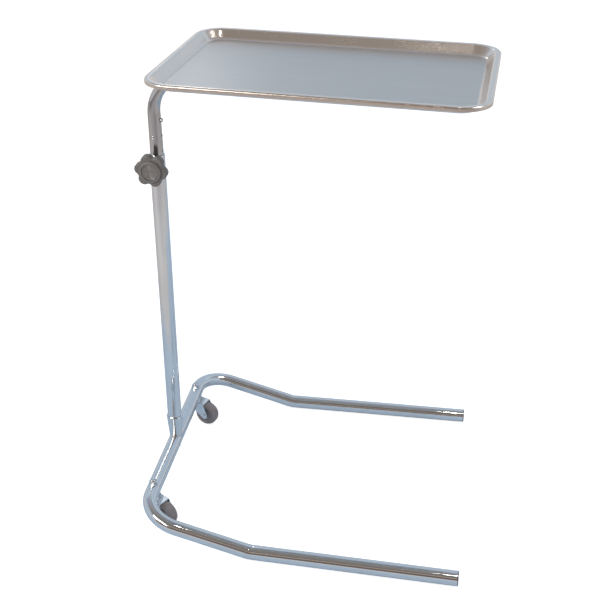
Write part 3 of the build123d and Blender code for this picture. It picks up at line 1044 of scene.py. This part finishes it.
@dataclass
class SlidingArm(SubAssembly):
    """The inner tube with its bend, its stop button and holes, and the cradle under the tray."""

    bottom: float = 0.190
    arm_height: float = 0.754
    bend: float = 0.064
    bend_flat: float = 0.34
    past_plug: float = 0.018
    stop_height: float = 0.681
    hole_pitch: float = 0.0254
    hole_radius: float = 0.00275
    side_hole_height: float = 0.655
    side_hole_angle: float = math.radians(-99)
    drill_depth: float = 0.01
    lip: float = 0.0006
    lip_sink: float = 0.00056
    button_sink: float = 0.00148
    button_size: Triple = (0.97, 0.97, 0.55)
    bracket_half: float = 0.0021
    bead: float = 0.0008

    def holes(self) -> list[TubeHole]:
        """Places the holes.

        Returns:
            The two under the stop button and the one at the side.
        """
        aside = Vector((math.cos(self.side_hole_angle), math.sin(self.side_hole_angle), 0))
        axis = Vector((POST_X, 0, 0))
        found = [TubeHole(axis + UP * (self.stop_height - step * self.hole_pitch), ARM_WAY) for step in (1, 2)]
        return [*found, TubeHole(axis + UP * self.side_hole_height, aside)]

    def drill(self, hole: TubeHole) -> bpy.types.Object:
        """Makes the drill for a hole.

        Args:
            hole: The hole.

        Returns:
            The drill, as an object for the cut.
        """
        cutter = bmesh.new()
        bmesh.ops.create_cone(
            cutter, cap_ends=True, segments=32, radius1=self.hole_radius, radius2=self.hole_radius,
            depth=self.drill_depth, matrix=facing(hole.middle + hole.way * INNER_RADIUS, hole.way),
        )
        return link_object("drill", as_mesh("drill", cutter))

    def tube(self) -> None:
        """Bends the inner tube, flattens its bend and drills it."""
        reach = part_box("arm_plug")[0].x - POST_X
        end = reach / math.cos(ARM_SWIVEL) + self.past_plug
        foot, top = Vector((POST_X, 0, self.bottom)), Vector((POST_X, 0, self.arm_height))
        route = [foot, top, top + ARM_WAY * end]
        shape = BentTube(route, (self.bend,), INNER_RADIUS, run_steps=10).build({1: self.bend_flat})
        blank = link_object("drilled_tube", as_mesh("drilled_tube", shape))
        drills = [self.drill(hole) for hole in self.holes()]
        for drill in drills:
            cut = blank.modifiers.new("drill", "BOOLEAN")
            cut.object = drill
            cut.operation = "DIFFERENCE"
            cut.solver = "EXACT"
        graph = bpy.context.evaluated_depsgraph_get()
        drilled = bpy.data.meshes.new_from_object(blank.evaluated_get(graph))
        for spare in (blank, *drills):
            bpy.data.objects.remove(spare)
        self.shop.keep("inner_post_skin", drilled, SLIDE_CHROME, Body.ARM, ("inner_post",))

    def hole_lips(self) -> None:
        """Rounds each hole's rim with a thin bright lip, all but sunk so that it passes the post's bore."""
        for index, (middle, way) in enumerate(self.holes()):
            across = way.cross(UP)
            path = []
            for side, rise in around(28, self.hole_radius):
                out = math.sqrt(INNER_RADIUS**2 - side**2) - self.lip_sink
                path.append(middle + across * side + UP * rise + way * out)
            Bead(f"hole_lip_{index + 1}", path, self.lip, ripple=0.0).lay(self.shop, Body.ARM)

    def side_button(self) -> None:
        """Sets a low domed button in the hole at the side, flush with the tube."""
        middle, way = self.holes()[-1]
        place = facing(middle + way * (INNER_RADIUS - self.button_sink), way)
        squash = Matrix.Diagonal((*self.button_size, 1.0))
        bm = bmesh.new()
        bmesh.ops.create_uvsphere(bm, u_segments=32, v_segments=20, radius=self.hole_radius, matrix=place @ squash)
        self.shop.keep("side_button", bm, WELD, Body.ARM)

    def cradle_welds(self) -> None:
        """Lays beads where the brackets meet the arm."""
        for name in ("inner", "outer"):
            _, _, middle = read_box(f"{name}_bracket")
            for side, offset in (("near", -self.bracket_half), ("far", self.bracket_half)):
                centre = Vector((middle.x, middle.y, self.arm_height)) + ARM_WAY * offset
                path = ring_path(centre, INNER_RADIUS, ARM_WAY, 40)
                Bead(f"{name}_bracket_weld_{side}", path, self.bead).lay(self.shop, Body.ARM)

    def build(self) -> None:
        """Makes and dresses the arm."""
        self.tube()
        self.hole_lips()
        self.side_button()
        self.cradle_welds()
        self.shop.dress(CHROME, "stop_rivet", "tray_ring", "inner_bracket", "outer_bracket")
        self.shop.dress(PLUG_PLASTIC, "arm_plug")


@dataclass
class ClampKnob(SubAssembly):
    """The star knob with its cap, on the clamp's screw."""

    rings: int = 9
    ring_steps: int = 8
    ring_depth: float = 0.00016
    dish: float = 0.0014
    lip: float = 0.0007

    def cap(self) -> None:
        """Turns the dished cap with its fine rings."""
        low, high, middle = read_box("knob_cap")
        reach = (high.x - low.x) / 2
        thick = high.y - low.y
        steps = self.rings * self.ring_steps
        section = [(0.0, 0.0), (reach, 0.0), (reach, thick - self.lip), (reach - self.lip, thick)]
        for step in range(steps, -1, -1):
            share = step / steps
            across = share * (reach - 2 * self.lip)
            ripple = self.ring_depth * math.cos(FULL_TURN * self.rings * share)
            section.append((across, thick - self.lip - self.dish * (1 - share**2) + ripple))
        bm = bmesh.new()
        join_row(bm, [bm.verts.new((across, 0.0, rise)) for across, rise in section])
        turn_round(bm, 96)
        seat = Matrix.Translation((middle.x, high.y, middle.z)) @ Matrix.Rotation(math.pi / 2, 4, "X")
        bmesh.ops.transform(bm, matrix=seat, verts=bm.verts)
        self.shop.keep("ringed_cap", bm, CAP_PLASTIC, Body.KNOB, ("knob_cap",))

    def build(self) -> None:
        """Makes the cap and dresses the knob."""
        self.shop.dress(KNOB_PLASTIC, "clamp_knob")
        self.cap()
        self.shop.dress(ZINC, "clamp_screw")


@dataclass
class Caster(SubAssembly):
    """One caster: a stem with its nut, a fork, and a wheel on a bush."""

    side: str
    swivel: float
    roller: Body
    radius: float = 0.023
    width: float = 0.020
    edge: float = 0.0045
    bore: float = 0.0046
    rounding: float = 0.0007
    collar_gap: float = 0.0001
    rim: float = 0.0009

    def wheel_axis(self) -> Matrix:
        """Place of the wheel: Z along its axle."""
        _, _, middle = read_box(f"{self.side}_wheel")
        return facing(middle, Vector((math.sin(self.swivel), -math.cos(self.swivel), 0)))

    def wheel(self) -> None:
        """Turns the wheel: a crowned tread, dished faces and a hub with a raised ring."""
        half = self.width / 2
        section = (
            (self.bore, half), (0.0085, half), (0.0090, half - 0.0022), (0.0150, half - 0.0026),
            (0.0160, half - 0.0006), (0.0172, half), (0.0200, half - 0.0002),
            (self.radius - 0.0005, half - self.edge), (self.radius, 0.0),
        )
        bm = bmesh.new()
        upper = [bm.verts.new((r, 0.0, z)) for r, z in section]
        lower = [bm.verts.new((r, 0.0, -z)) for r, z in reversed(section[:-1])]
        chain = upper + lower
        join_row(bm, chain + chain[:1])
        flush = (chain[0], chain[-1], upper[-1])
        round_off(bm, [vert for vert in chain if vert not in flush], self.rounding, 4)
        turn_round(bm, 72)
        bmesh.ops.transform(bm, matrix=self.wheel_axis(), verts=bm.verts)
        self.shop.keep(f"{self.side}_wheel_tread", bm, TREAD, self.roller, (f"{self.side}_wheel",))

    def race_rim(self) -> None:
        """Lays the bright rim round the collar over the fork."""
        low, high, middle = read_box(f"{self.side}_stem")
        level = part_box(f"{self.side}_fork")[1].z + self.collar_gap + self.rim
        centre = Vector((middle.x, middle.y, level))
        path = ring_path(centre, (high.x - low.x) / 2 - self.rim / 2, UP, 48)
        Bead(f"{self.side}_race_rim", path, self.rim, ripple=0.0).lay(self.shop, Body.BASE)

    def build(self) -> None:
        """Makes and dresses the caster."""
        self.wheel()
        self.shop.dress(ZINC, *(f"{self.side}_{part}" for part in ("fork", "axle", "stem", "wheel_bush")))
        self.shop.dress(NUT_PLATE, f"{self.side}_stem_nut")
        self.race_rim()


@dataclass
class TrayPan(SubAssembly):
    """The pressed pan: turned-down edge, flat flange, sloping wall and satin floor."""

    length: float = 0.4858
    width: float = 0.3207
    corner: float = 0.045
    corner_steps: int = 20
    side_steps: int = 8
    top: float = 0.790
    depth: float = 0.0155
    sheet: float = 0.0009
    flange: float = 0.009
    wall_foot: float = 0.0195
    floor_start: float = 0.008
    skirt: float = 0.0065
    offset: float = 0.2777
    rolls: Triple = (0.0026, 0.0024, 0.0045)

    def start(self) -> Vector:
        """Where the near side's straight run starts, at the rim's outer edge."""
        return Vector((POST_X + self.offset - self.length / 2 + self.corner, -self.width / 2, self.top))

    def section(self, bm: Shape) -> Section:
        """Draws the rim's section at the start of the near side.

        Args:
            bm: The mesh that it is drawn in.

        Returns:
            Its vertices and edges.
        """
        start = self.start()
        floor = self.sheet - self.depth
        points = (
            (0.0, -self.skirt), (0.0, 0.0), (self.flange, 0.0), (self.wall_foot, floor),
            (self.wall_foot + self.floor_start, floor),
        )
        verts = [bm.verts.new(start + Vector((0.0, inset, height))) for inset, height in points]
        join_row(bm, verts)
        for vert, roll in zip(verts[1:4], self.rolls):
            round_off(bm, [vert], roll, 7)
        return bm.verts[:], bm.edges[:]

    def rim(self, bm: Shape) -> None:
        """Sweeps the rim's section along the four sides and round the four corners.

        Args:
            bm: The mesh that it is drawn in.
        """
        verts, edges = self.section(bm)
        heading, spot = Vector((1, 0, 0)), self.start()
        for run in (self.length - 2 * self.corner, self.width - 2 * self.corner) * 2:
            for _ in range(self.side_steps):
                verts, edges = pull(bm, edges, heading * (run / self.side_steps))
            spot = spot + heading * run
            left = Vector((-heading.y, heading.x, 0))
            centre = spot + left * self.corner
            verts, edges = swing(bm, (verts, edges), centre, UP, math.pi / 2, self.corner_steps)
            spot = centre + heading * self.corner
            heading = left
        bmesh.ops.remove_doubles(bm, verts=bm.verts, dist=10 * SAME_PLACE)

    def build(self) -> None:
        """Presses the pan: sweeps the rim, closes the floor and gives it the sheet's thickness."""
        bm = bmesh.new()
        self.rim(bm)
        level = self.top - self.depth + self.sheet
        inner = [edge for edge in bm.edges if edge.is_boundary and abs(edge.verts[0].co.z - level) < 1e-5]
        bmesh.ops.edgeloop_fill(bm, edges=inner)
        bmesh.ops.recalc_face_normals(bm, faces=bm.faces)
        bmesh.ops.transform(bm, matrix=about_post(ARM_SWIVEL), verts=bm.verts)
        floor = max(bm.faces, key=lambda face: face.calc_area())
        if floor.normal.z < 0:
            bmesh.ops.reverse_faces(bm, faces=bm.faces)
        bmesh.ops.solidify(bm, geom=bm.faces[:], thickness=self.sheet)
        self.shop.keep("pressed_pan", bm, PAN, Body.TRAY, ("instrument_tray",))


# ---------------------------------------------------------------- studio


@dataclass
class Lamp:
    """A soft rectangular lamp: its place, the point it faces, its size, its watts and its colour."""

    name: str
    place: Triple
    aim: Triple
    size: tuple[float, float]
    power: float
    colour: Colour

    def hang(self) -> None:
        """Hangs the lamp."""
        data = bpy.data.lights.new(self.name, "AREA")
        data.shape = "RECTANGLE"
        data.size, data.size_y = self.size
        data.energy = self.power
        data.color = self.colour
        lamp = link_object(self.name, data)
        lamp.location = self.place
        lamp.rotation_mode = "QUATERNION"
        lamp.rotation_quaternion = (Vector(self.place) - Vector(self.aim)).to_track_quat("Z", "Y")


LAMPS = (
    Lamp("side_softbox", (-1.60, -1.90, 1.72), (0, 0, 0.1), (2.0, 0.75), 29.0, (1.0, 0.99, 0.97)),
    Lamp("knee_lamp", (0.37, -0.84, 2.94), (0, 0, 0.0), (0.10, 0.10), 1.7, (1.0, 0.97, 0.95)),
    Lamp("right_lamp", (1.60, -0.22, 2.30), (-0.2, 0.2, 0.0), (0.62, 0.62), 13.0, (1.0, 0.99, 0.98)),
    Lamp("back_strip", (-0.80, 2.17, 2.02), (-0.25, -0.1, 0.08), (0.10, 0.40), 0.8, (1.0, 0.98, 0.97)),
)


@dataclass
class Studio:
    """Camera, floor, lamps and the dark surroundings that bright metal mirrors."""

    place: Triple = (0.20866, -1.4784, 1.2172)
    yaw: float = 0.1482
    pitch: float = 0.5158
    roll: float = -0.0088
    focal: float = 1018.8
    frame_pixels: float = 610.0
    sensor: float = 36.0
    paper: Colour = (0.47, 0.58, 0.70)
    boards: Colour = (0.62, 0.59, 0.58)
    boards_far: Colour = (0.42, 0.40, 0.41)
    boards_fade: tuple[float, float] = (-1.5, -0.8)
    paper_half: float = 0.76
    paper_front: float = -0.45
    paper_edge: float = 0.05
    floor_half: float = 8.0
    floor_gap: float = 0.0003
    lift_colour: Colour = (1.0, 0.94, 0.88)
    camera_lift: float = 0.80
    mirror_lift: float = 0.03
    horizon: Colour = (0.70, 0.70, 0.72)
    wall: Colour = (0.47, 0.57, 0.69)
    wall_fade: tuple[float, float] = (0.12, 0.24)
    ambient: Colour = (0.95, 0.97, 1.0)
    ambient_strength: float = 0.62
    room_shades: tuple[tuple[float, Colour], ...] = (
        (8.0, (0.17, 0.13, 0.115)), (47.0, (0.17, 0.14, 0.12)), (56.0, (0.24, 0.225, 0.21)),
        (76.0, (0.25, 0.235, 0.22)), (90.0, (0.30, 0.28, 0.27)), (106.0, (0.34, 0.34, 0.37)),
        (120.0, (0.36, 0.39, 0.47)), (129.0, (0.56, 0.66, 0.74)), (138.0, (0.56, 0.66, 0.74)),
    )
    room_reach: float = 3.2
    room_half: float = 4.0
    rail: Colour = (0.58, 0.47, 0.40)
    rail_place: Triple = (0.0, -1.03, 0.68)
    rail_tilt: float = math.radians(50)
    rail_size: Triple = (1.6, 0.07, 1.0)

    def camera(self) -> None:
        """Sets the camera at the photograph's viewpoint."""
        data = bpy.data.cameras.new("camera")
        data.sensor_width = self.sensor
        data.lens = self.focal / self.frame_pixels * self.sensor
        data.clip_start, data.clip_end = 0.05, 60.0
        level = math.cos(self.pitch)
        forward = Vector((-math.sin(self.yaw) * level, math.cos(self.yaw) * level, -math.sin(self.pitch)))
        right = Vector((math.cos(self.yaw), math.sin(self.yaw), 0))
        down = forward.cross(right)
        across = right * math.cos(self.roll) + down * math.sin(self.roll)
        lower = down * math.cos(self.roll) - right * math.sin(self.roll)
        turn = Matrix((across, -lower, -forward)).transposed().to_4x4()
        camera = link_object("camera", data)
        camera.matrix_world = Matrix.Translation(self.place) @ turn
        bpy.context.scene.camera = camera

    @staticmethod
    def stage_piece(name: str, bm: Shape, material: bpy.types.Material) -> bpy.types.Object:
        """Makes a stage piece, which isn't part of the stand.

        Args:
            name: Its name.
            bm: Its shape.
            material: Its material.

        Returns:
            The piece.
        """
        mesh = as_mesh(name, bm)
        mesh.materials.append(material)
        made = link_object(name, mesh)
        return made

    @staticmethod
    def mirrored(graph: Graph) -> tuple[Socket, Socket]:
        """Adds a Light Path: whether the camera looks, and whether a mirror or glass does."""
        path = graph.add("ShaderNodeLightPath").outputs
        return path["Is Camera Ray"], graph.maths("MAXIMUM", path["Is Glossy Ray"], path["Is Transmission Ray"])

    def floor(self) -> None:
        """Lays the pale floor; to the camera it is lifted to white, and shadows still show on it."""
        material, graph, shader = new_material("pale_floor")
        spot = graph.axes(graph.coordinates())
        aside = graph.maths("SUBTRACT", graph.maths("ABSOLUTE", spot["X"]), self.paper_half)
        ahead = graph.maths("SUBTRACT", self.paper_front, spot["Y"])
        off = graph.spread(graph.maths("MAXIMUM", aside, ahead), 0.0, 1.0, -self.paper_edge, self.paper_edge)
        far = graph.spread(spot["Y"], 1.0, 0.0, *self.boards_fade)
        tone = graph.blend(off, self.paper, graph.blend(far, self.boards, self.boards_far))
        seen, mirrored = self.mirrored(graph)
        lift = graph.maths("MULTIPLY", seen, self.camera_lift)
        glow = graph.maths("ADD", lift, graph.maths("MULTIPLY", mirrored, self.mirror_lift))
        for name, value in (
            ("Base Color", tone),
            ("Roughness", 0.9),
            ("Specular IOR Level", 0.1),
            ("Emission Color", self.lift_colour),
            ("Emission Strength", glow),
        ):
            graph.feed(shader.inputs[name], value)
        bm = bmesh.new()
        under = Matrix.Translation((0, 0, -self.floor_gap))
        bmesh.ops.create_grid(bm, x_segments=1, y_segments=1, size=self.floor_half, matrix=under)
        self.stage_piece("floor", bm, material)

    def world(self) -> None:
        """Lights the room evenly, and shows white to the camera and pale grey-blue to mirrors."""
        world = bpy.data.worlds.new("room")
        bpy.context.scene.world = world
        world.use_nodes = True
        world.node_tree.nodes.clear()
        graph = Graph(world.node_tree)
        height = graph.axes(graph.coordinates("Generated"))["Z"]
        tone = graph.blend(graph.spread(height, 0.0, 1.0, *self.wall_fade), self.horizon, self.wall)
        ambient = graph.add("ShaderNodeBackground", {"Color": self.ambient, "Strength": self.ambient_strength})
        mirror = graph.add("ShaderNodeBackground", {"Color": tone})
        white = graph.add("ShaderNodeBackground", {"Color": (1.0, 1.0, 1.0)})
        seen, mirrored = self.mirrored(graph)
        unseen = graph.add("ShaderNodeMixShader", {0: mirrored, 1: ambient.outputs[0], 2: mirror.outputs[0]})
        whole = graph.add("ShaderNodeMixShader", {0: seen, 1: unseen.outputs[0], 2: white.outputs[0]})
        graph.add("ShaderNodeOutputWorld", {0: whole.outputs[0]})

    def mirror_card(self, name: str, bm: Shape, colour: Colour | None = None) -> None:
        """Hangs a glowing card that only mirrors see.

        Args:
            name: The card's name.
            bm: Its shape.
            colour: Its colour; without one it has the room's shades, by angle about X.
        """
        material, graph, _ = new_material(name)
        graph.tree.nodes.clear()
        if colour is None:
            spot = graph.axes(graph.coordinates())
            turn = graph.maths("ARCTAN2", spot["Z"], graph.maths("MULTIPLY", spot["Y"], -1.0))
            stops = [(angle / 180.0, shade) for angle, shade in self.room_shades]
            colour = graph.shades(graph.maths("DIVIDE", turn, math.pi), stops)
        glow = graph.add("ShaderNodeEmission", {"Color": colour})
        graph.add("ShaderNodeOutputMaterial", {0: glow.outputs[0]})
        card = self.stage_piece(name, bm, material)
        card.visible_camera = False
        card.visible_diffuse = False
        card.visible_shadow = False
        card.visible_volume_scatter = False

    def room(self) -> None:
        """Hangs the dark room on the camera's side and over the stand, and the rail that shows in the legs."""
        bm = bmesh.new()
        start, end = math.radians(self.room_shades[0][0]), math.radians(self.room_shades[-1][0])
        y, z = -self.room_reach * math.cos(start), self.room_reach * math.sin(start)
        edge = [bm.verts.new((x, y, z)) for x in (-self.room_half, self.room_half)]
        swing(bm, (edge, [bm.edges.new(edge)]), Vector(), Vector((-1, 0, 0)), end - start, 40)
        self.mirror_card("dark_room", bm)
        rail = bmesh.new()
        tilt = Matrix.Translation(self.rail_place) @ Matrix.Rotation(self.rail_tilt, 4, "X")
        size = Matrix.Diagonal((*self.rail_size, 1.0))
        bmesh.ops.create_grid(rail, x_segments=1, y_segments=1, size=1.0, matrix=tilt @ size)
        self.mirror_card("pale_rail", rail, self.rail)

    def build(self) -> None:
        """Sets the whole studio up."""
        bpy.context.scene.view_settings.view_transform = "Standard"
        self.camera()
        self.floor()
        self.world()
        self.room()
        for lamp in LAMPS:
            lamp.hang()


def main() -> None:
    """Builds the stand piece by piece, then the studio."""
    logging.basicConfig(level=logging.INFO, format="%(name)s: %(message)s")
    shop = Workshop()
    for part in (
        FloorBase(shop),
        Post(shop),
        SlidingArm(shop),
        ClampKnob(shop),
        Caster(shop, "near", math.radians(-30), Body.NEAR_ROLLER),
        Caster(shop, "far", math.radians(-20), Body.FAR_ROLLER),
        TrayPan(shop),
    ):
        part.build()
    Studio().build()


if __name__ == "__main__":
    main()
